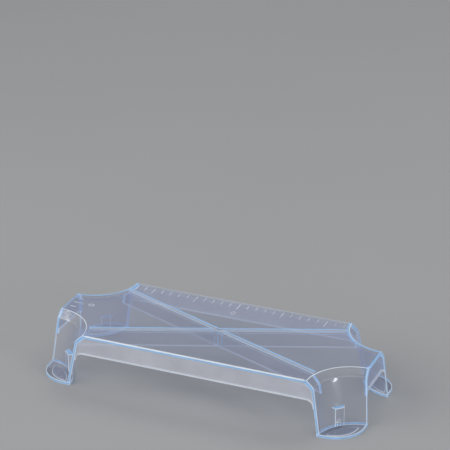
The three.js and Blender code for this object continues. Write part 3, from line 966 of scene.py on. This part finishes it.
def make_floor(look):
    """A plain round floor whose rim curves up: a profile of level then rising points, spun about Z."""
    level, rise = 3.0, 1.2
    inner_rings = [0.02, 0.5, 1.5]
    turn = np.linspace(0, math.pi / 2, 2 * BEND_STEPS + 1)
    radius = np.concatenate([inner_rings, level + rise * np.sin(turn)])[:, None]
    height = np.concatenate([np.zeros(len(inner_rings)), rise * (1 - np.cos(turn))])[:, None]
    around = np.linspace(0, 2 * math.pi, FLOOR_SIDES, endpoint=False)
    loops = np.stack(np.broadcast_arrays(radius * np.cos(around), radius * np.sin(around), height), axis=-1)
    index = np.arange(loops.shape[0] * loops.shape[1]).reshape(loops.shape[:2])
    turned = np.roll(index, -1, axis=1)
    quads = np.stack([index[:-1], index[1:], turned[1:], turned[:-1]], axis=-1).reshape(-1, 4).tolist()
    mesh = bpy.data.meshes.new("floor")
    mesh.from_pydata(loops.reshape(-1, 3).tolist(), [], [index[0].tolist(), *quads])
    mesh.shade_smooth()
    tree = new_material("floor")
    darker = [0.96 * part for part in look.floor]
    lighter = [1.04 * part for part in look.floor]
    pale = mixed_colour(tree, surface_pattern(tree, 2.0, 4.0), darker, lighter)
    face = add_node(tree, "ShaderNodeBsdfPrincipled", {"Base Color": pale, "Roughness": 0.7})
    add_node(tree, "ShaderNodeOutputMaterial", {"Surface": face.outputs[0]})
    mesh.materials.append(bpy.data.materials["floor"])
    floor = bpy.data.objects.new("floor", mesh)
    bpy.context.scene.collection.objects.link(floor)


def make_lamp(name, place, size, watts, tone):
    """A soft square lamp that faces the rack."""
    data = bpy.data.lights.new(name, "AREA")
    data.shape = "RECTANGLE"
    data.size, data.size_y = size
    data.energy = watts
    data.color = tone
    lamp = bpy.data.objects.new(name, data)
    lamp.location = place
    lamp.rotation_euler = (-Vector(place)).to_track_quat("-Z", "Y").to_euler()
    bpy.context.scene.collection.objects.link(lamp)


def make_camera(look):
    """The camera, looking along its azimuth and elevation."""
    data = bpy.data.cameras.new("camera")
    data.lens = look.lens
    data.clip_end = 50.0
    camera = bpy.data.objects.new("camera", data)
    sight = Vector((
        -math.sin(look.azimuth) * math.cos(look.elevation),
        math.cos(look.azimuth) * math.cos(look.elevation),
        -math.sin(look.elevation),
    ))
    camera.location = look.eye
    camera.rotation_mode = "QUATERNION"
    camera.rotation_quaternion = sight.to_track_quat("-Z", "Y") @ Quaternion((0, 0, 1), look.roll)
    bpy.context.scene.collection.objects.link(camera)
    bpy.context.scene.camera = camera


def make_sky(look):
    """Even pale light from all round."""
    world = bpy.data.worlds.new("studio")
    world.use_nodes = True
    world.node_tree.nodes.clear()
    tree = world.node_tree
    light = add_node(tree, "ShaderNodeBackground", {"Color": (0.95, 0.97, 1, 1), "Strength": look.sky})
    add_node(tree, "ShaderNodeOutputWorld", {"Surface": light.outputs[0]})
    bpy.context.scene.world = world


# ---------------------------------------------------------------- operators


class RACK_OT_stage(bpy.types.Operator):
    """Set up the floor, the lights and the camera."""

    bl_idname = "rack.stage"
    bl_label = "Stage"

    def execute(self, context):
        look = context.scene.rack_studio
        make_camera(look)
        make_sky(look)
        make_floor(look)
        for name, place, size, tone in LAMPS:
            make_lamp(name, place, size, getattr(look, name), tone)
        context.scene.cycles.transparent_max_bounces = CLEAR_LAYERS
        context.scene.view_settings.view_transform = "Standard"
        return {"FINISHED"}


class RACK_OT_deck(bpy.types.Operator):
    """Make the deck with its engraved scales."""

    bl_idname = "rack.deck"
    bl_label = "Deck"

    def execute(self, context):
        make_deck(Form(context.scene), context.scene.rack_scales)
        return {"FINISHED"}


class RACK_OT_legs(bpy.types.Operator):
    """Make the four trough-shaped legs."""

    bl_idname = "rack.legs"
    bl_label = "Legs"

    def execute(self, context):
        form = Form(context.scene)
        for corner in CORNERS:
            make_leg(form, *corner)
        return {"FINISHED"}


class RACK_OT_aprons(bpy.types.Operator):
    """Make the aprons under the deck's four edges."""

    bl_idname = "rack.aprons"
    bl_label = "Aprons"

    def execute(self, context):
        form = Form(context.scene)
        long_fillet, end_fillet = form.member.long_fillet, form.member.end_fillet
        long_depth = form.top - LONG_WEB_FOOT - long_fillet
        end_depth = form.top - END_WEB_FOOT - end_fillet
        make_apron(form, "front_apron", long_depth, long_fillet, 1, -1, False)
        make_apron(form, "rear_apron", long_depth, long_fillet, 1, 1, False)
        make_apron(form, "left_end_apron", end_depth, end_fillet, -1, 1, True)
        make_apron(form, "right_end_apron", end_depth, end_fillet, 1, 1, True)
        return {"FINISHED"}


class RACK_OT_ribs(bpy.types.Operator):
    """Make the crossed ribs under the deck."""

    bl_idname = "rack.ribs"
    bl_label = "Ribs"

    def execute(self, context):
        make_ribs(Form(context.scene))
        return {"FINISHED"}


class RACK_OT_feet(bpy.types.Operator):
    """Make the four feet."""

    bl_idname = "rack.feet"
    bl_label = "Feet"

    def execute(self, context):
        form = Form(context.scene)
        for corner in CORNERS:
            make_foot(form, *corner)
        return {"FINISHED"}


class RACK_OT_stops(bpy.types.Operator):
    """Make the stop blocks that a nested rack rests on."""

    bl_idname = "rack.stops"
    bl_label = "Nesting Stops"

    def execute(self, context):
        form = Form(context.scene)
        for corner in CORNERS:
            make_stop(form, *corner)
        return {"FINISHED"}


STEPS = [
    RACK_OT_stage,
    RACK_OT_deck,
    RACK_OT_legs,
    RACK_OT_aprons,
    RACK_OT_ribs,
    RACK_OT_feet,
    RACK_OT_stops,
]
SETTINGS = {
    "rack_sizes": RackSizes,
    "rack_members": MemberSizes,
    "rack_scales": ScaleSizes,
    "rack_plastic": PlasticLook,
    "rack_studio": StudioLook,
}


class RACK_PT_panel(bpy.types.Panel):
    """Lists the rack's sizes, colours and making steps."""

    bl_idname = "RACK_PT_panel"
    bl_label = "Clear Nesting Rack"
    bl_space_type = "VIEW_3D"
    bl_region_type = "UI"
    bl_category = "Rack"

    def draw(self, context):
        for name, group in SETTINGS.items():
            box = self.layout.box()
            for key in group.__annotations__:
                box.prop(getattr(context.scene, name), key)
        for step in STEPS:
            self.layout.operator(step.bl_idname)


def register():
    """Registers the classes and hangs each group of settings on the scene."""
    for kind in (*SETTINGS.values(), *STEPS, RACK_PT_panel):
        bpy.utils.register_class(kind)
    for name, group in SETTINGS.items():
        setattr(bpy.types.Scene, name, bpy.props.PointerProperty(type=group))


def unregister():
    """Takes the settings off the scene and unregisters the classes."""
    for name in SETTINGS:
        delattr(bpy.types.Scene, name)
    for kind in (RACK_PT_panel, *reversed(STEPS), *reversed(SETTINGS.values())):
        bpy.utils.unregister_class(kind)


def main():
    """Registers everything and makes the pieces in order."""
    register()
    for step in STEPS:
        family, name = step.bl_idname.split(".")
        getattr(getattr(bpy.ops, family), name)()


if __name__ == "__main__":
    main()
